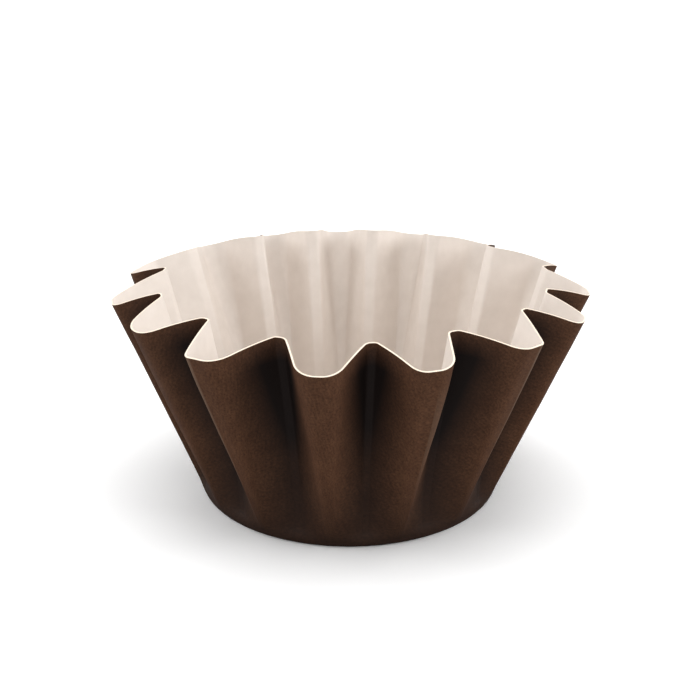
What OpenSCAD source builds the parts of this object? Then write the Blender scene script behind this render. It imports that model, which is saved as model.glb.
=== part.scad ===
// Cupcake liner: one round sheet of baking paper, pressed in a die into a flat base and a
// wall of upright folds, with a plain cut rim. The origin is at the centre of the underside,
// +Z is up, and azimuths run from the front (-Y) towards +X.

/* [Base] */
// Diameter of the base, across the line where the wall turns up
base_d = 50; // [40:0.5:56]
// Radius of the fold between the base and the wall
base_fold_r = 1; // [0.7:0.1:3]

/* [Wall] */
// Diameter over the outer folds at the rim
rim_d = 78; // [70:0.5:90]
// Length of the wall along its slope, from the base line to the rim
wall_l = 36.6; // [28:0.2:46]
// Length of the plain foot of the wall, below the folds
foot_l = 1.5; // [1:0.5:8]
// Thickness of the paper
paper_t = 0.25; // [0.2:0.05:0.6]

/* [Folds] */
// Number of outer folds round the rim
fold_count = 15; // [10:1:18]
// Depth of the folds at the rim
fold_depth = 7.6; // [3:0.2:9]
// Width of an outer fold between its two corners, at the rim
outer_fold_w = 4.6; // [2:0.1:5.6]
// Width of an outer fold at the foot of the wall, where it has tapered nearly to a point
outer_foot_w = 0.6; // [0.4:0.1:3]
// Radius of the corners of an outer fold
outer_corner_r = 2.6; // [1:0.1:5]
// Width of an inner fold between its two corners, at the rim
inner_fold_w = 2; // [1:0.1:2.6]
// Radius of the corners of an inner fold
inner_corner_r = 0.8; // [0.4:0.1:3]
// Unevenness of the folds: 0 is as pressed, 1 is as handled
unevenness = 1; // [0:0.1:1]

/* [Hidden] */

// Azimuth of the first outer fold, a little left of the front
first_fold_a = -6;
// How far round each fold stands from its even place, in hundredths of the pitch
outer_shift = [-1, -2, 0, -6, -13, 8, 4, -4, -12, -29, -50, -25, 5, -3, -6];
inner_shift = [-2, -9, 6, -10, -4, 4, 0, -8, -21, -40, -54, -30, -16, -2, 2];
// How far out each fold stands from its even radius, in mm
outer_reach = [0.5, 0.3, -0.2, 0.1, 0.1, 1.3, 0.5, 0, 0.4, 0, 0.5, 0, -0.7, -0.6, 0.2];
inner_reach = [1, 0.1, 0.1, 0.6, 2.4, 0.6, 0.1, -0.4, 0.1, 0.4, 4.6, -0.3, -0.4, -0.7, 0.4];
// How much wider each fold is than an even one, in mm
outer_spread = [0.6, 0.8, 0, -0.5, 0, 0, 0.3, -0.3, 0, 0.4, 0, 6, 0, 0.5, 0.9];
inner_spread = [-0.8, -0.5, -0.9, 0, 0, 0.2, 0, -0.2, 0, 0, 0, 0, -0.4, -0.8, -0.6];
// How much softer the left and the right corner of each fold are than even ones, in mm
outer_ease = [
    [1, 0.5], [0, 1], [1.5, -1.5], [0, -0.5], [0, 0], [0.5, 0], [0, 0.5], [0, 0],
    [0.5, 0], [0, 0], [0, 0], [0, 0.5], [-0.5, -0.5], [1.5, 1], [-1.5, 1.5]
];
inner_ease = [
    [0.5, -0.5], [0, 0], [0, -0.5], [0, 0], [0, 0], [0, 0.5], [0, 0], [0.5, 0],
    [0, 0], [0, 0], [0, 3], [0, 0], [-0.5, 1], [0.5, -0.5], [-0.5, 0.5]
];
// Radius of the tightest corner that the paper takes without cracking
tight_corner_r = 2 * paper_t;

// Points on each rounded corner of a fold
corner_points = 4;
// Rings of points on the fold at the base, and on the wall above it
base_fold_rings = 3;
wall_rings = 6;
// Most of half a side that the arc on a corner may take up
arc_share = 0.9;
// How the folds deepen up the wall: at 1 they would deepen evenly, and below it fastest at the foot
growth_power = 0.65;

base_r = base_d / 2;
rim_r = rim_d / 2;
pitch = 360 / fold_count;

function unit(v) = v / norm(v);
function at_azimuth(a, r) = [r * sin(a), -r * cos(a)];
function uneven(offsets, i) = unevenness * offsets[i % len(offsets)];

// The left and the right corner of a fold, each with the radius that rounds it
function fold_corners(place, shift, r, w, corner_r, ease) =
    let (a = first_fold_a + pitch * (place + shift / 100), half_a = asin(w / 2 / r))
    [for (side = [0, 1]) [
        at_azimuth(a + (2 * side - 1) * half_a, r),
        max(tight_corner_r, corner_r + ease[side])
    ]];

// An outer fold as it is at t up the wall, which runs from 0 at the base line to 1 at the rim
function outer_fold(i, t) = fold_corners(
    i, uneven(outer_shift, i), rim_r + uneven(outer_reach, i),
    t * (outer_fold_w + uneven(outer_spread, i)) + (1 - t) * outer_foot_w * rim_r / base_r,
    outer_corner_r, uneven(outer_ease, i)
);

function inner_fold(i) = fold_corners(
    i + 0.5, uneven(inner_shift, i), rim_r - fold_depth + uneven(inner_reach, i),
    inner_fold_w + uneven(inner_spread, i), inner_corner_r, uneven(inner_ease, i)
);

// One corner, seen from above, as an arc that ends before it meets its neighbours
function rounded_corner(corners, k) =
    let (
        p = corners[k][0],
        before = corners[(k + len(corners) - 1) % len(corners)][0] - p,
        after = corners[(k + 1) % len(corners)][0] - p,
        half_a = acos(unit(before) * unit(after)) / 2,
        room = arc_share * min(norm(before), norm(after)) / 2,
        r = min(corners[k][1], room * tan(half_a)),
        centre = p + unit(unit(before) + unit(after)) * r / sin(half_a),
        start = p + unit(before) * r / tan(half_a) - centre,
        turn = (180 - 2 * half_a) * sign(cross(after, before))
    )
    [for (q = [0:corner_points - 1])
        let (a = turn * q / (corner_points - 1))
        centre + [start.x * cos(a) - start.y * sin(a), start.x * sin(a) + start.y * cos(a)]];

// The folds seen from above, as wide as they are at t up the wall and as deep as at the rim
function fold_line(t) =
    let (corners = [for (i = [0:fold_count - 1]) each concat(outer_fold(i, t), inner_fold(i))])
    [for (k = [0:len(corners) - 1]) each rounded_corner(corners, k)];

// Share of the folds' depth that the wall has reached at t, from the base line to the rim
function fold_growth(t) = pow(max(0, (t * wall_l - foot_l) / (wall_l - foot_l)), growth_power);

// The paper is as long down an inner fold as down an outer one, so an inner fold ends higher
function rim_height(p) = sqrt(pow(wall_l, 2) - pow(norm(p) - base_r, 2));

function wall_point(p, t) =
    let (r = base_r + t * (rim_r - base_r) - (rim_r - norm(p)) * fold_growth(t))
    [unit(p).x * r, unit(p).y * r, t * rim_height(p)];

// Angle that the paper turns through at the base, and how much of the wall the turn takes up
function base_turn(p) = atan2(rim_height(p), rim_r - base_r);
function turn_length(p) = base_fold_r * tan(base_turn(p) / 2);
function turn_share(p) = turn_length(p) / norm([rim_r - base_r, rim_height(p)]);

function base_fold_point(p, share) =
    let (
        a = share * base_turn(p),
        r = base_r - turn_length(p) + base_fold_r * sin(a)
    )
    [unit(p).x * r, unit(p).y * r, base_fold_r * (1 - cos(a))];

// Rings of points on the outside of the paper, from the flat of the base up to the rim. On the
// wall they stand closest at its foot, where the folds deepen fastest.
outside = concat(
    [for (j = [0:base_fold_rings - 1])
        [for (p = fold_line(0)) base_fold_point(p, j / (base_fold_rings - 1))]],
    [for (j = [1:wall_rings])
        let (share = pow(j / wall_rings, 2))
        [for (p = fold_line(share))
            let (t0 = turn_share(p))
            wall_point(p, t0 + (1 - t0) * share)]]
);
rings = len(outside);
columns = len(outside[0]);

// Direction through the paper, from its outside to its inside
function through(j, i) = j == 0 ? [0, 0, 1] : unit(cross(
    outside[min(j + 1, rings - 1)][i] - outside[j - 1][i],
    outside[j][(i + 1) % columns] - outside[j][(i + columns - 1) % columns]
));

inside = [for (j = [0:rings - 1])
    [for (i = [0:columns - 1]) outside[j][i] + paper_t * through(j, i)]];

// Triangles between two rows of points that start at a and b
function band(a, b) = [for (i = [0:columns - 1])
    let (next = (i + 1) % columns)
    each [[a + i, b + i, b + next], [a + i, b + next, a + next]]];

module liner() {
    inner_start = rings * columns;
    under_centre = 2 * rings * columns;
    floor_centre = under_centre + 1;
    points = concat(
        [for (ring = outside) each ring],
        [for (ring = inside) each ring],
        [[0, 0, 0], [0, 0, paper_t]]
    );
    faces = concat(
        [for (j = [0:rings - 2]) each band(j * columns, (j + 1) * columns)],
        [for (j = [0:rings - 2]) each band(inner_start + (j + 1) * columns, inner_start + j * columns)],
        band((rings - 1) * columns, inner_start + (rings - 1) * columns),
        [for (i = [0:columns - 1]) [under_centre, i, (i + 1) % columns]],
        [for (i = [0:columns - 1])
            [floor_centre, inner_start + (i + 1) % columns, inner_start + i]]
    );
    color("#483326") polyhedron(points, faces, convexity = 10);
}

liner();
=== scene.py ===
import math
import bpy
from mathutils import Matrix, Vector


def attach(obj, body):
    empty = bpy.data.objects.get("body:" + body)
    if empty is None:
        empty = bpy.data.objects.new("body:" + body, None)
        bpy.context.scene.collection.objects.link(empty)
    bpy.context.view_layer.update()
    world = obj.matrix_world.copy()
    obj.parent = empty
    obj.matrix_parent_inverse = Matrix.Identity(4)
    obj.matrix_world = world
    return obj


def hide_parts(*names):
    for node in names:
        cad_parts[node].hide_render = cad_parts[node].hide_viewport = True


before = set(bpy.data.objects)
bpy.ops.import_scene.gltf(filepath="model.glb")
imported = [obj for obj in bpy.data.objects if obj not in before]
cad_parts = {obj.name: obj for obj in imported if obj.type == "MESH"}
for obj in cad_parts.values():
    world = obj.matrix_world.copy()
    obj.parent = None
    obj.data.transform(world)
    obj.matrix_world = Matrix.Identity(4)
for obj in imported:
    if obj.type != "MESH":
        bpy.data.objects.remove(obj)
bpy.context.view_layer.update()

# The liner's rim. The sheet is cut round after it is pressed, so the rim is one closed line of
# flats and tight turns. Each fold has two corners, and none stands quite where its neighbours
# would put it, because the paper springs back unevenly when it leaves the die.
mm = 0.001
base_r = 25 * mm
rim_r = 39 * mm
wall_length = 36.6 * mm
fold_count = 15
fold_depth = 7.6 * mm
outer_fold = {"corner_r": 2.6 * mm, "crease_r": 0.7 * mm, "side": 1}
inner_fold = {"corner_r": 0.8 * mm, "crease_r": 0.4 * mm, "side": -1}
outer_fold_w = 4.6 * mm
outer_foot_w = 0.6 * mm
inner_fold_w = 2.0 * mm
tightest_r = 0.5 * mm
# The paper is painted pale, partly as rubbed wear and partly as a painted highlight, where a crease is at
# least as tight as this
wear_and_highlight_r = 0.9 * mm
first_fold = math.radians(-6)
pitch = 2 * math.pi / fold_count
corner_room = 0.9
corner_points = 9
flat_step = 0.7 * mm
# How far round each fold stands from its even place, in hundredths of the pitch
outer_shift = [-1, -2, 0, -6, -13, 8, 4, -4, -12, -29, -50, -25, 5, -3, -6]
inner_shift = [-2, -9, 6, -10, -4, 4, 0, -8, -21, -40, -54, -30, -16, -2, 2]
# How far out each fold stands from its even radius, and how much wider it is, in mm
outer_reach = [0.5, 0.3, -0.2, 0.1, 0.1, 1.3, 0.5, 0, 0.4, 0, 0.5, 0, -0.7, -0.6, 0.2]
inner_reach = [1, 0.1, 0.1, 0.6, 2.4, 0.6, 0.1, -0.4, 0.1, 0.4, 4.6, -0.3, -0.4, -0.7, 0.4]
outer_spread = [0.6, 0.8, 0, -0.5, 0, 0, 0.3, -0.3, 0, 0.4, 0, 6, 0, 0.5, 0.9]
inner_spread = [-0.8, -0.5, -0.9, 0, 0, 0.2, 0, -0.2, 0, 0, 0, 0, -0.4, -0.8, -0.6]
# How much softer its left and its right corner are, in mm, for the folds where they differ
outer_ease = {
    0: (1, 0.5), 1: (0, 1), 2: (1.5, -1.5), 3: (0, -0.5), 5: (0.5, 0), 6: (0, 0.5), 8: (0.5, 0),
    11: (0, 0.5), 12: (-0.5, -0.5), 13: (1.5, 1), 14: (-1.5, 1.5),
}
inner_ease = {
    0: (0.5, -0.5), 2: (0, -0.5), 5: (0, 0.5), 7: (0.5, 0), 10: (0, 3), 12: (-0.5, 1), 13: (0.5, -0.5),
    14: (-0.5, 0.5),
}
# The outer folds that the die caught on one corner, by fold and by its left or right corner
sharp_corners = {(13, 0), (14, 0), (1, 1), (2, 1), (5, 0), (7, 1), (9, 0), (11, 1)}


def fold_corners(place, shift, radius, width, fold, ease):
    """The two corners of a fold, in plan: its azimuth is from the front (-Y) towards +X."""
    azimuth = first_fold + pitch * (place + shift / 100)
    half_angle = math.asin(width / 2 / radius)
    made = []
    for right, turn in ((0, -half_angle), (1, half_angle)):
        point = Vector((math.sin(azimuth + turn), -math.cos(azimuth + turn))) * radius
        corner_r = max(tightest_r, fold["corner_r"] + ease[right] * mm)
        sharp = fold["side"] < 0 or (place, right) in sharp_corners
        made.append((point, corner_r, fold["crease_r"] if sharp else corner_r, fold["side"]))
    return made


# The corners as they are at the rim, and as wide apart as they are at the foot of the wall,
# where the outer folds have tapered nearly to a point
rim_corners = []
foot_corners = []
for i in range(fold_count):
    outer_r = rim_r + outer_reach[i] * mm
    inner_r = rim_r - fold_depth + inner_reach[i] * mm
    inner_w = inner_fold_w + inner_spread[i] * mm
    outer_widths = (outer_fold_w + outer_spread[i] * mm, outer_foot_w * rim_r / base_r)
    outer_softer = outer_ease.get(i, (0, 0))
    inner_softer = inner_ease.get(i, (0, 0))
    for made, outer_w in zip((rim_corners, foot_corners), outer_widths):
        made += fold_corners(i, outer_shift[i], outer_r, outer_w, outer_fold, outer_softer)
        made += fold_corners(i + 0.5, inner_shift[i], inner_r, inner_w, inner_fold, inner_softer)


def round_corner(corners, index, crisp):
    """One corner of the rim as an arc, with how pale it is painted along it: rubbed wear and a painted
    highlight.
    """
    corner, sprung_r, creased_r, side = corners[index]
    before = corners[index - 1][0] - corner
    after = corners[(index + 1) % len(corners)][0] - corner
    half_angle = before.angle(after) / 2
    room = corner_room * min(before.length, after.length) / 2
    radius = min(creased_r if crisp else sprung_r, room * math.tan(half_angle))
    middle = (before.normalized() + after.normalized()).normalized()
    centre = corner + middle * radius / math.sin(half_angle)
    start = corner + before.normalized() * radius / math.tan(half_angle) - centre
    turn = math.copysign(math.pi - 2 * half_angle, after.cross(before))
    shares = [step / (corner_points - 1) for step in range(corner_points)]
    arc = [centre + Matrix.Rotation(turn * share, 2) @ start for share in shares]
    return arc, side * min(1.0, wear_and_highlight_r / radius)


# Low on the wall the creases are as crisp as the die leaves them, and towards the rim the paper
# springs open, so each point of the rim line has its place in the sprung rim, in the creased one
# and in the folds as they are at the foot
kinds = {"sprung": (rim_corners, False), "creased": (rim_corners, True), "foot": (foot_corners, True)}
rim_lines = {name: [] for name in kinds}
wear_and_highlight_lines = {name: [] for name in kinds}
for index in range(len(rim_corners)):
    creased_arc, _ = round_corner(rim_corners, index, True)
    arc_before, _ = round_corner(rim_corners, index - 1, True)
    steps = max(2, round((creased_arc[0] - arc_before[-1]).length / flat_step))
    for name, (corners, crisp) in kinds.items():
        arc, wear_and_highlight_here = round_corner(corners, index, crisp)
        flat_start = round_corner(corners, index - 1, crisp)[0][-1]
        rim_lines[name] += [flat_start.lerp(arc[0], step / steps) for step in range(1, steps)] + arc
        wear_and_highlight_lines[name] += [0.0] * (steps - 1) + [wear_and_highlight_here] * corner_points


def at_rim(point):
    """The wall keeps the sheet's length down every fold, so an inner fold ends higher than an outer one."""
    return point.to_3d() + Vector((0, 0, math.sqrt(wall_length**2 - (point.length - base_r) ** 2)))


rim_points = [at_rim(point) for point in rim_lines["sprung"]]
edges = [(i, (i + 1) % len(rim_points)) for i in range(len(rim_points))]
outline = bpy.data.meshes.new("liner_rim")
outline.from_pydata(rim_points, edges, [])
rim_length = sum((rim_points[a] - rim_points[b]).length for a, b in edges)
turned = 0.0
turns = []
for a, b in edges:
    turns.append(turned / rim_length * 2 * math.pi)
    turned += (rim_points[a] - rim_points[b]).length
for name in ("creased", "foot"):
    values = [value for point in rim_lines[name] for value in at_rim(point)]
    outline.attributes.new(name, "FLOAT_VECTOR", "POINT").data.foreach_set("vector", values)
outline.attributes.new("crease", "FLOAT", "POINT").data.foreach_set("value", wear_and_highlight_lines["creased"])
outline.attributes.new("sprung_crease", "FLOAT", "POINT").data.foreach_set("value", wear_and_highlight_lines["sprung"])
outline.attributes.new("turn", "FLOAT", "POINT").data.foreach_set("value", turns)
liner = bpy.data.objects.new("liner_paper", outline)
bpy.context.scene.collection.objects.link(liner)


def linear(hex_colour):
    """An sRGB hex colour as linear RGBA."""
    parts = [int(hex_colour[i : i + 2], 16) / 255 for i in (1, 3, 5)]
    return [p / 12.92 if p <= 0.04045 else ((p + 0.055) / 1.055) ** 2.4 for p in parts] + [1.0]


def add_node(tree, kind, inputs=None, **settings):
    """A node with its settings, and each input either linked to a socket or set to a value."""
    made = tree.nodes.new(kind)
    for name, value in settings.items():
        setattr(made, name, value)
    for socket, value in (inputs or {}).items():
        if isinstance(value, bpy.types.NodeSocket):
            tree.links.new(value, made.inputs[socket])
        else:
            made.inputs[socket].default_value = value
    return made


# Brown face of the sheet: greaseproof baking paper, dyed brown and calendered. The ink lies on
# matt fibres, so it is even from a step away, cloudy and finely ribbed close to. Painted shade makes
# it nearly black down in the folds and at their foot, and the sharpest creases are painted paler,
# partly as rubbed wear and partly as a painted highlight.
brown = bpy.data.materials.new("greaseproof_paper_brown_face")
brown.use_nodes = True
tree = brown.node_tree
surface = tree.nodes["Principled BSDF"]
sheet = add_node(tree, "ShaderNodeAttribute", attribute_name="sheet")
sheet_mm = add_node(
    tree, "ShaderNodeVectorMath", {0: sheet.outputs["Vector"], "Scale": 1 / mm}, operation="SCALE"
)
cloud = add_node(
    tree, "ShaderNodeTexNoise", {"Vector": sheet_mm.outputs[0], "Scale": 1 / 3.0, "Detail": 4.0}
)
ribs_place = add_node(
    tree,
    "ShaderNodeVectorMath",
    {0: sheet_mm.outputs[0], 1: (1 / 3.0, 1 / 0.35, 1.0)},
    operation="MULTIPLY",
)
ribs = add_node(tree, "ShaderNodeTexNoise", {"Vector": ribs_place.outputs[0], "Scale": 1.0, "Detail": 2.0})
tooth = add_node(
    tree, "ShaderNodeTexNoise", {"Vector": sheet_mm.outputs[0], "Scale": 1 / 0.2, "Detail": 2.0}
)
ink = add_node(
    tree,
    "ShaderNodeMix",
    {0: cloud.outputs["Fac"], 6: linear("#4F3222"), 7: linear("#694833")},
    data_type="RGBA",
)
ribbed = add_node(
    tree,
    "ShaderNodeMapRange",
    {"Value": ribs.outputs["Fac"], "From Min": 0.3, "From Max": 0.7, "To Min": 0.88, "To Max": 1.12},
)
flecks = add_node(
    tree,
    "ShaderNodeTexNoise",
    {"Vector": sheet_mm.outputs[0], "Scale": 1 / 0.4, "Detail": 3.0, "Roughness": 0.7},
)
flecked = add_node(
    tree,
    "ShaderNodeMapRange",
    {"Value": flecks.outputs["Fac"], "From Min": 0.3, "From Max": 0.7, "To Min": 0.6, "To Max": 1.4},
)
grain = add_node(
    tree, "ShaderNodeMath", {0: ribbed.outputs[0], 1: flecked.outputs[0]}, operation="MULTIPLY"
)
ribbed_ink = add_node(
    tree, "ShaderNodeVectorMath", {0: ink.outputs[2], "Scale": grain.outputs[0]}, operation="SCALE"
)
# Painted shade: the colour darkens by depth into the folds, less so at the open rim, and all round at the
# foot
hollow = add_node(tree, "ShaderNodeAttribute", attribute_name="hollow")
deep = add_node(
    tree, "ShaderNodeMapRange", {"Value": hollow.outputs["Fac"], "From Min": 0.0, "From Max": 0.62}
)
grown = add_node(tree, "ShaderNodeAttribute", attribute_name="growth")
open_rim = add_node(
    tree,
    "ShaderNodeMapRange",
    {"Value": grown.outputs["Fac"], "From Min": 0.93, "From Max": 1.0, "To Min": 1.0, "To Max": 0.35},
)
fold_shade = add_node(tree, "ShaderNodeMath", {0: deep.outputs[0], 1: open_rim.outputs[0]}, operation="MULTIPLY")
low = add_node(
    tree,
    "ShaderNodeMapRange",
    {"Value": grown.outputs["Fac"], "From Max": 0.55, "To Min": 0.8, "To Max": 0.0},
)
shaded = add_node(
    tree, "ShaderNodeMath", {0: fold_shade.outputs[0], 1: low.outputs[0]}, operation="ADD", use_clamp=True
)
# Painted shade: a nearly black brown mixed over the ink in the folds and at the foot
painted_fold_shade = add_node(
    tree,
    "ShaderNodeMix",
    {0: shaded.outputs[0], 6: ribbed_ink.outputs[0], 7: linear("#1C1412")},
    data_type="RGBA",
)
crease = add_node(tree, "ShaderNodeAttribute", attribute_name="crease")
# Paler along the sharpest creases: partly rubbed wear, partly a painted highlight
wear_and_highlight = add_node(
    tree,
    "ShaderNodeMapRange",
    {"Value": crease.outputs["Fac"], "From Min": 0.42, "From Max": 0.95, "To Min": 0.0, "To Max": 0.62},
)
rubbed_and_highlit_ink = add_node(
    tree,
    "ShaderNodeMix",
    {0: wear_and_highlight.outputs[0], 6: painted_fold_shade.outputs[2], 7: linear("#8A7462")},
    data_type="RGBA",
)
tree.links.new(rubbed_and_highlit_ink.outputs[2], surface.inputs["Base Color"])
relief = add_node(
    tree, "ShaderNodeMath", {0: ribs.outputs["Fac"], 1: tooth.outputs["Fac"]}, operation="ADD"
)
bump = add_node(
    tree, "ShaderNodeBump", {"Height": relief.outputs[0], "Distance": 0.02 * mm, "Strength": 0.6}
)
tree.links.new(bump.outputs[0], surface.inputs["Normal"])
surface.inputs["Roughness"].default_value = 0.6
surface.inputs["IOR"].default_value = 1.4
surface.inputs["Specular IOR Level"].default_value = 0.26

# White face of the sheet: the same paper undyed, which is what touches the food. It is a warm
# white with a faint cloudiness where the fibres lie thicker, and a soft matt shine.
white = bpy.data.materials.new("greaseproof_paper_white_face")
white.use_nodes = True
tree = white.node_tree
surface = tree.nodes["Principled BSDF"]
sheet = add_node(tree, "ShaderNodeAttribute", attribute_name="sheet")
sheet_mm = add_node(
    tree, "ShaderNodeVectorMath", {0: sheet.outputs["Vector"], "Scale": 1 / mm}, operation="SCALE"
)
cloud = add_node(
    tree, "ShaderNodeTexNoise", {"Vector": sheet_mm.outputs[0], "Scale": 1 / 2.5, "Detail": 4.0}
)
pulp = add_node(
    tree,
    "ShaderNodeMix",
    {0: cloud.outputs["Fac"], 6: linear("#D8CEC5"), 7: linear("#E7DED6")},
    data_type="RGBA",
)
tree.links.new(pulp.outputs[2], surface.inputs["Base Color"])
tooth = add_node(
    tree, "ShaderNodeTexNoise", {"Vector": sheet_mm.outputs[0], "Scale": 1 / 0.25, "Detail": 2.0}
)
bump = add_node(
    tree, "ShaderNodeBump", {"Height": tooth.outputs["Fac"], "Distance": 0.02 * mm, "Strength": 0.5}
)
tree.links.new(bump.outputs[0], surface.inputs["Normal"])
surface.inputs["Roughness"].default_value = 0.55
surface.inputs["IOR"].default_value = 1.4

# Cut edge of the sheet: bare fibres through the paper's thickness, cream and quite matt. It
# reads as a bright line round the dark rim.
cut = bpy.data.materials.new("greaseproof_paper_cut_edge")
cut.use_nodes = True
tree = cut.node_tree
surface = tree.nodes["Principled BSDF"]
place = add_node(tree, "ShaderNodeTexCoord")
fibres = add_node(
    tree, "ShaderNodeTexNoise", {"Vector": place.outputs["Object"], "Scale": 1 / (0.6 * mm), "Detail": 3.0}
)
cream = add_node(
    tree,
    "ShaderNodeMix",
    {0: fibres.outputs["Fac"], 6: linear("#F3DDC6"), 7: linear("#FFF3E2")},
    data_type="RGBA",
)
tree.links.new(cream.outputs[2], surface.inputs["Base Color"])
surface.inputs["Roughness"].default_value = 0.8

# The liner's sheet. The dies bend it up round the base, and from a short plain foot the wall
# gathers into folds that deepen up to the rim. The tree sweeps the rim line down to the base,
# gives the sheet its thickness and puts the right face of the paper on each side.
base_fold_r = 1 * mm
foot_length = 1.5 * mm
paper_thickness = 0.25 * mm
mean_height = math.sqrt(wall_length**2 - (rim_r - base_r) ** 2)
wall_slope = math.atan2(mean_height, rim_r - base_r)
sizes = {
    "Base radius": base_r,
    "Rim radius": rim_r,
    "Fold depth": fold_depth,
    "Base fold reach": base_fold_r * math.tan(wall_slope / 2),
    "Foot share": foot_length / wall_length,
    "Fold growth": 0.65,
    "Spring": 3.0,
    "Wall length": wall_length,
    "Paper thickness": paper_thickness,
    "Wave height": 0.25 * mm,
    "Wave length": 9 * mm,
}
rows = {"Base rows": 8, "Base fold rows": 5, "Wall rows": 42}
weld_distance = 0.001 * mm
sharp_edge_angle = math.radians(60)
faces = {"Outside": brown, "Inside": white, "Cut edge": cut}
press = bpy.data.node_groups.new("Press the sheet", "GeometryNodeTree")
press.interface.new_socket("Rim line", in_out="INPUT", socket_type="NodeSocketGeometry")
for name in sizes:
    press.interface.new_socket(name, in_out="INPUT", socket_type="NodeSocketFloat")
for name in rows:
    press.interface.new_socket(name, in_out="INPUT", socket_type="NodeSocketInt")
for name in faces:
    press.interface.new_socket(name, in_out="INPUT", socket_type="NodeSocketMaterial")
press.interface.new_socket("Liner", in_out="OUTPUT", socket_type="NodeSocketGeometry")
given = add_node(press, "NodeGroupInput").outputs

# One column of points for each point of the rim line, the first repeated to close the seam
count = add_node(press, "GeometryNodeAttributeDomainSize", {0: given["Rim line"]}, component="MESH")
columns = add_node(press, "ShaderNodeMath", {0: count.outputs["Point Count"], 1: 1.0}, operation="ADD")
wall_start = add_node(
    press, "ShaderNodeMath", {0: given["Base rows"], 1: given["Base fold rows"]}, operation="ADD"
)
last_row = add_node(
    press, "ShaderNodeMath", {0: wall_start.outputs[0], 1: given["Wall rows"]}, operation="ADD"
)
row_count = add_node(press, "ShaderNodeMath", {0: last_row.outputs[0], 1: 1.0}, operation="ADD")
grid = add_node(
    press, "GeometryNodeMeshGrid", {"Vertices X": columns.outputs[0], "Vertices Y": row_count.outputs[0]}
)
index = add_node(press, "GeometryNodeInputIndex")
row = add_node(press, "ShaderNodeMath", {0: index.outputs[0], 1: row_count.outputs[0]}, operation="MODULO")
column_share = add_node(
    press, "ShaderNodeMath", {0: index.outputs[0], 1: row_count.outputs[0]}, operation="DIVIDE"
)
column = add_node(press, "ShaderNodeMath", {0: column_share.outputs[0]}, operation="FLOOR")
rim_index = add_node(
    press, "ShaderNodeMath", {0: column.outputs[0], 1: count.outputs["Point Count"]}, operation="MODULO"
)

# What the rim line holds at this column, and how far the fold has widened and sprung open at
# this row
position = add_node(press, "GeometryNodeInputPosition")
sprung_point = add_node(
    press,
    "GeometryNodeSampleIndex",
    {"Geometry": given["Rim line"], "Value": position.outputs[0], "Index": rim_index.outputs[0]},
    data_type="FLOAT_VECTOR",
)
places = {}
for name in ("creased", "foot"):
    held = add_node(press, "GeometryNodeInputNamedAttribute", {"Name": name}, data_type="FLOAT_VECTOR")
    places[name] = add_node(
        press,
        "GeometryNodeSampleIndex",
        {"Geometry": given["Rim line"], "Value": held.outputs[0], "Index": rim_index.outputs[0]},
        data_type="FLOAT_VECTOR",
    )
rise = add_node(
    press,
    "ShaderNodeMapRange",
    {"Value": row.outputs[0], "From Min": wall_start.outputs[0], "From Max": last_row.outputs[0]},
)
tapered = add_node(
    press,
    "ShaderNodeMix",
    {0: rise.outputs[0], 4: places["foot"].outputs[0], 5: places["creased"].outputs[0]},
    data_type="VECTOR",
)
spring = add_node(press, "ShaderNodeMath", {0: rise.outputs[0], 1: given["Spring"]}, operation="POWER")
rim_point = add_node(
    press,
    "ShaderNodeMix",
    {0: spring.outputs[0], 4: tapered.outputs[1], 5: sprung_point.outputs[0]},
    data_type="VECTOR",
)
sampled = {}
for name in ("crease", "sprung_crease", "turn"):
    held = add_node(press, "GeometryNodeInputNamedAttribute", {"Name": name}, data_type="FLOAT")
    sampled[name] = add_node(
        press,
        "GeometryNodeSampleIndex",
        {"Geometry": given["Rim line"], "Value": held.outputs[0], "Index": rim_index.outputs[0]},
        data_type="FLOAT",
    )

# The plain cone that the folds gather in from: its foot on the base line and its rim
plan = add_node(
    press, "ShaderNodeVectorMath", {0: rim_point.outputs[1], 1: (1.0, 1.0, 0.0)}, operation="MULTIPLY"
)
outward = add_node(press, "ShaderNodeVectorMath", {0: plan.outputs[0]}, operation="NORMALIZE")
upward = add_node(
    press, "ShaderNodeVectorMath", {0: rim_point.outputs[1], 1: (0.0, 0.0, 1.0)}, operation="MULTIPLY"
)
foot = add_node(
    press, "ShaderNodeVectorMath", {0: outward.outputs[0], "Scale": given["Base radius"]}, operation="SCALE"
)
cone_plan = add_node(
    press, "ShaderNodeVectorMath", {0: outward.outputs[0], "Scale": given["Rim radius"]}, operation="SCALE"
)
cone_rim = add_node(
    press, "ShaderNodeVectorMath", {0: cone_plan.outputs[0], 1: upward.outputs[0]}, operation="ADD"
)
fold = add_node(
    press, "ShaderNodeVectorMath", {0: rim_point.outputs[1], 1: cone_rim.outputs[0]}, operation="SUBTRACT"
)
cone_side = add_node(
    press, "ShaderNodeVectorMath", {0: cone_rim.outputs[0], 1: foot.outputs[0]}, operation="SUBTRACT"
)
cone_length = add_node(press, "ShaderNodeVectorMath", {0: cone_side.outputs[0]}, operation="LENGTH")
fold_share = add_node(
    press,
    "ShaderNodeMath",
    {0: given["Base fold reach"], 1: cone_length.outputs["Value"]},
    operation="DIVIDE",
)

# The base: flat from the centre to where the paper begins to turn up
base_share = add_node(
    press, "ShaderNodeMapRange", {"Value": row.outputs[0], "From Max": given["Base rows"]}
)
flat_r = add_node(
    press, "ShaderNodeMath", {0: given["Base radius"], 1: given["Base fold reach"]}, operation="SUBTRACT"
)
flat_edge = add_node(
    press, "ShaderNodeVectorMath", {0: outward.outputs[0], "Scale": flat_r.outputs[0]}, operation="SCALE"
)
base_point = add_node(
    press,
    "ShaderNodeVectorMath",
    {0: flat_edge.outputs[0], "Scale": base_share.outputs[0]},
    operation="SCALE",
)

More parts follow.
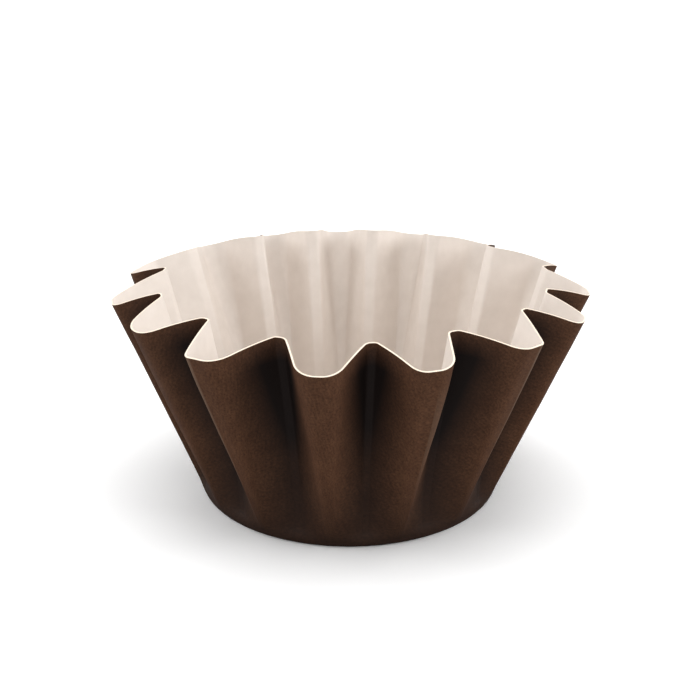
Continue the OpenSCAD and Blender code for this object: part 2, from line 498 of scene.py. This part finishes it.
# The fold at the base, as a curve from the flat round the base line on to the wall
bend_share = add_node(
    press,
    "ShaderNodeMapRange",
    {"Value": row.outputs[0], "From Min": given["Base rows"], "From Max": wall_start.outputs[0]},
)
wall_foot = add_node(
    press,
    "ShaderNodeMix",
    {0: fold_share.outputs[0], 4: foot.outputs[0], 5: cone_rim.outputs[0]},
    data_type="VECTOR",
)
bend_in = add_node(
    press,
    "ShaderNodeMix",
    {0: bend_share.outputs[0], 4: flat_edge.outputs[0], 5: foot.outputs[0]},
    data_type="VECTOR",
)
bend_out = add_node(
    press,
    "ShaderNodeMix",
    {0: bend_share.outputs[0], 4: foot.outputs[0], 5: wall_foot.outputs[1]},
    data_type="VECTOR",
)
bend_point = add_node(
    press,
    "ShaderNodeMix",
    {0: bend_share.outputs[0], 4: bend_in.outputs[1], 5: bend_out.outputs[1]},
    data_type="VECTOR",
)

# The wall: up the cone, and in by the fold's depth, which grows from the foot to the rim
climb = add_node(
    press,
    "ShaderNodeMapRange",
    {
        "Value": row.outputs[0],
        "From Min": wall_start.outputs[0],
        "From Max": last_row.outputs[0],
        "To Min": fold_share.outputs[0],
    },
)
folding = add_node(
    press, "ShaderNodeMapRange", {"Value": climb.outputs[0], "From Min": given["Foot share"]}
)
growth = add_node(
    press, "ShaderNodeMath", {0: folding.outputs[0], 1: given["Fold growth"]}, operation="POWER"
)
cone_point = add_node(
    press,
    "ShaderNodeMix",
    {0: climb.outputs[0], 4: foot.outputs[0], 5: cone_rim.outputs[0]},
    data_type="VECTOR",
)
gathered = add_node(
    press, "ShaderNodeVectorMath", {0: fold.outputs[0], "Scale": growth.outputs[0]}, operation="SCALE"
)
wall_point = add_node(
    press, "ShaderNodeVectorMath", {0: cone_point.outputs[1], 1: gathered.outputs[0]}, operation="ADD"
)

# Each row takes its place on the base, the bend or the wall
past_base = add_node(
    press, "ShaderNodeMath", {0: row.outputs[0], 1: given["Base rows"]}, operation="GREATER_THAN"
)
past_bend = add_node(
    press, "ShaderNodeMath", {0: row.outputs[0], 1: wall_start.outputs[0]}, operation="GREATER_THAN"
)
low_point = add_node(
    press,
    "GeometryNodeSwitch",
    {"Switch": past_base.outputs[0], "False": base_point.outputs[0], "True": bend_point.outputs[1]},
    input_type="VECTOR",
)
sheet_point = add_node(
    press,
    "GeometryNodeSwitch",
    {"Switch": past_bend.outputs[0], "False": low_point.outputs[0], "True": wall_point.outputs[0]},
    input_type="VECTOR",
)

# The same point on the flat sheet before it was pressed, for the grain of the paper
base_run = add_node(
    press, "ShaderNodeMath", {0: base_share.outputs[0], 1: given["Base radius"]}, operation="MULTIPLY"
)
sheet_run = add_node(
    press,
    "ShaderNodeMath",
    {0: climb.outputs[0], 1: given["Wall length"], 2: base_run.outputs[0]},
    operation="MULTIPLY_ADD",
)
sheet_arm = add_node(press, "ShaderNodeCombineXYZ", {"X": sheet_run.outputs[0]})
flat_sheet = add_node(
    press,
    "ShaderNodeVectorRotate",
    {"Vector": sheet_arm.outputs[0], "Angle": sampled["turn"].outputs[0]},
    rotation_type="Z_AXIS",
)
# How pale the crease is painted here, as rubbed wear and a painted highlight
crease_left = add_node(
    press,
    "ShaderNodeMix",
    {0: spring.outputs[0], 2: sampled["crease"].outputs[0], 3: sampled["sprung_crease"].outputs[0]},
    data_type="FLOAT",
)
crease_here = add_node(
    press, "ShaderNodeMath", {0: crease_left.outputs[0], 1: growth.outputs[0]}, operation="MULTIPLY"
)

# How far the paper is folded in here, which sets the painted shade in the folds: 0 on the outer folds, 1 at
# the bottom of an even inner one
plan_r = add_node(press, "ShaderNodeVectorMath", {0: plan.outputs[0]}, operation="LENGTH")
folded_in = add_node(
    press, "ShaderNodeMath", {0: given["Rim radius"], 1: plan_r.outputs["Value"]}, operation="SUBTRACT"
)
hollow_share = add_node(
    press, "ShaderNodeMath", {0: folded_in.outputs[0], 1: given["Fold depth"]}, operation="DIVIDE"
)
hollow_here = add_node(
    press, "ShaderNodeMath", {0: hollow_share.outputs[0], 1: growth.outputs[0]}, operation="MULTIPLY"
)

keep_sheet = add_node(
    press,
    "GeometryNodeStoreNamedAttribute",
    {"Geometry": grid.outputs["Mesh"], "Name": "sheet", "Value": flat_sheet.outputs[0]},
    data_type="FLOAT_VECTOR",
)
keep_crease = add_node(
    press,
    "GeometryNodeStoreNamedAttribute",
    {"Geometry": keep_sheet.outputs[0], "Name": "crease", "Value": crease_here.outputs[0]},
    data_type="FLOAT",
)
keep_hollow = add_node(
    press,
    "GeometryNodeStoreNamedAttribute",
    {"Geometry": keep_crease.outputs[0], "Name": "hollow", "Value": hollow_here.outputs[0]},
    data_type="FLOAT",
)
keep_growth = add_node(
    press,
    "GeometryNodeStoreNamedAttribute",
    {"Geometry": keep_hollow.outputs[0], "Name": "growth", "Value": growth.outputs[0]},
    data_type="FLOAT",
)
pressed = add_node(
    press,
    "GeometryNodeSetPosition",
    {"Geometry": keep_growth.outputs[0], "Position": sheet_point.outputs[0]},
)
closed = add_node(
    press, "GeometryNodeMergeByDistance", {"Geometry": pressed.outputs[0], "Distance": weld_distance}
)

# Soft waves, where the paper has sprung back from the die
wave_scale = add_node(press, "ShaderNodeMath", {0: 1.0, 1: given["Wave length"]}, operation="DIVIDE")
waves = add_node(
    press,
    "ShaderNodeTexNoise",
    {"Vector": position.outputs[0], "Scale": wave_scale.outputs[0], "Detail": 1.0},
)
centred = add_node(press, "ShaderNodeMath", {0: waves.outputs["Fac"], 1: 0.5}, operation="SUBTRACT")
grown = add_node(press, "GeometryNodeInputNamedAttribute", {"Name": "growth"}, data_type="FLOAT")
wave = add_node(press, "ShaderNodeMath", {0: centred.outputs[0], 1: grown.outputs[0]}, operation="MULTIPLY")
wave_height = add_node(
    press, "ShaderNodeMath", {0: wave.outputs[0], 1: given["Wave height"]}, operation="MULTIPLY"
)
normal = add_node(press, "GeometryNodeInputNormal")
wave_offset = add_node(
    press,
    "ShaderNodeVectorMath",
    {0: normal.outputs[0], "Scale": wave_height.outputs[0]},
    operation="SCALE",
)
waved = add_node(
    press, "GeometryNodeSetPosition", {"Geometry": closed.outputs[0], "Offset": wave_offset.outputs[0]}
)

# The sheet's thickness, from its outside in, with one face of the paper on each side
outside = add_node(
    press, "GeometryNodeSetMaterial", {"Geometry": waved.outputs[0], "Material": given["Outside"]}
)
turned_in = add_node(press, "GeometryNodeFlipFaces", {"Mesh": outside.outputs[0]})
inside = add_node(
    press,
    "GeometryNodeExtrudeMesh",
    {"Mesh": turned_in.outputs[0], "Offset Scale": given["Paper thickness"], "Individual": False},
    mode="FACES",
)
inside_paper = add_node(
    press,
    "GeometryNodeSetMaterial",
    {"Geometry": inside.outputs["Mesh"], "Selection": inside.outputs["Top"], "Material": given["Inside"]},
)
edge_paper = add_node(
    press,
    "GeometryNodeSetMaterial",
    {
        "Geometry": inside_paper.outputs[0],
        "Selection": inside.outputs["Side"],
        "Material": given["Cut edge"],
    },
)
both = add_node(press, "GeometryNodeJoinGeometry")
press.links.new(edge_paper.outputs[0], both.inputs[0])
press.links.new(outside.outputs[0], both.inputs[0])
welded = add_node(
    press, "GeometryNodeMergeByDistance", {"Geometry": both.outputs[0], "Distance": weld_distance}
)
real = add_node(press, "GeometryNodeRealizeInstances", {"Geometry": welded.outputs[0]})
add_node(press, "NodeGroupOutput", {0: real.outputs[0]})

modifier = liner.modifiers.new("Press the sheet", "NODES")
modifier.node_group = press
for item in press.interface.items_tree:
    for group in (sizes, rows, faces):
        if item.name in group:
            modifier[item.identifier] = group[item.name]
seen = bpy.context.evaluated_depsgraph_get()
pressed_mesh = bpy.data.meshes.new_from_object(liner.evaluated_get(seen), depsgraph=seen)
liner.modifiers.clear()
liner.data = pressed_mesh
pressed_mesh.shade_smooth()
pressed_mesh.set_sharp_from_angle(angle=sharp_edge_angle)
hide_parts("liner")
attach(liner, "root")

# The studio floor: a wide sheet of white paper. It is drawn a little brighter to the camera
# than it is, so that it runs off to white and still shows the soft shadow round the base.
floor_half = 4.0
floor_mesh = bpy.data.meshes.new("studio_floor")
floor_mesh.from_pydata(
    [(x * floor_half, y * floor_half, 0) for x, y in ((-1, -1), (1, -1), (1, 1), (-1, 1))],
    [],
    [(0, 1, 2, 3)],
)
floor = bpy.data.objects.new("studio_floor", floor_mesh)
bpy.context.scene.collection.objects.link(floor)
ground = bpy.data.materials.new("matt_white_studio_paper")
ground.use_nodes = True
tree = ground.node_tree
surface = tree.nodes["Principled BSDF"]
surface.inputs["Base Color"].default_value = linear("#808080")
surface.inputs["Roughness"].default_value = 0.9
bright = add_node(tree, "ShaderNodeBsdfDiffuse", {"Color": (1.1, 1.1, 1.1, 1)})
rays = add_node(tree, "ShaderNodeLightPath")
shown = add_node(
    tree,
    "ShaderNodeMixShader",
    {0: rays.outputs["Is Camera Ray"], 1: surface.outputs[0], 2: bright.outputs[0]},
)
tree.links.new(shown.outputs[0], tree.nodes["Material Output"].inputs["Surface"])
floor_mesh.materials.append(ground)

# Studio light: a broad softbox overhead, one low in front, one on each side and one low behind
# on each side, in a dim even room. None is bright, so the folds stay dark.
lamps = {
    "top_softbox": {"round": 180, "up": 83, "level": 0.68, "spread": 60},
    "front_softbox": {"round": -5, "up": 12, "level": 0.36, "spread": 40},
    "left_softbox": {"round": -75, "up": 30, "level": 0.32, "spread": 40},
    "right_softbox": {"round": 72, "up": 25, "level": 0.43, "spread": 40},
    "back_left_softbox": {"round": -115, "up": 12, "level": 0.34, "spread": 40},
    "back_right_softbox": {"round": 115, "up": 12, "level": 0.4, "spread": 40},
}
for name, lamp in lamps.items():
    light = bpy.data.lights.new(name, "SUN")
    light.energy = math.pi * lamp["level"]
    light.angle = math.radians(lamp["spread"])
    holder = bpy.data.objects.new(name, light)
    holder.rotation_mode = "QUATERNION"
    side, height = math.radians(lamp["round"]), math.radians(lamp["up"])
    lamp_from = Vector(
        (math.sin(side) * math.cos(height), -math.cos(side) * math.cos(height), math.sin(height))
    )
    holder.rotation_quaternion = lamp_from.to_track_quat("Z", "Y")
    bpy.context.scene.collection.objects.link(holder)
world = bpy.data.worlds.new("pale_room")
bpy.context.scene.world = world
world.use_nodes = True
tree = world.node_tree
room = tree.nodes["Background"]
room.inputs["Color"].default_value = (1, 1, 1, 1)
room.inputs["Strength"].default_value = 0.12
backdrop = add_node(tree, "ShaderNodeBackground", {"Color": (1, 1, 1, 1), "Strength": 1.0})
rays = add_node(tree, "ShaderNodeLightPath")
shown = add_node(
    tree,
    "ShaderNodeMixShader",
    {0: rays.outputs["Is Camera Ray"], 1: room.outputs[0], 2: backdrop.outputs[0]},
)
tree.links.new(shown.outputs[0], tree.nodes["World Output"].inputs["Surface"])

# The camera stands where the photograph was taken from: close, level and looking down 20
# degrees at the middle of the wall.
camera_distance = 185 * mm
camera_height_angle = math.radians(19.994)
aim = Vector((0.13, 0, 23.149)) * mm
sensor_width = 36.0
lens = 56.877
camera_data = bpy.data.cameras.new("camera")
camera_data.sensor_width = sensor_width
camera_data.lens = lens
camera_data.clip_start = 0.01
camera = bpy.data.objects.new("camera", camera_data)
towards_camera = Vector((0, -math.cos(camera_height_angle), math.sin(camera_height_angle)))
camera.location = aim + towards_camera * camera_distance
camera.rotation_mode = "QUATERNION"
camera.rotation_quaternion = towards_camera.to_track_quat("Z", "Y")
bpy.context.scene.collection.objects.link(camera)
bpy.context.scene.camera = camera
bpy.context.scene.view_settings.view_transform = "Standard"
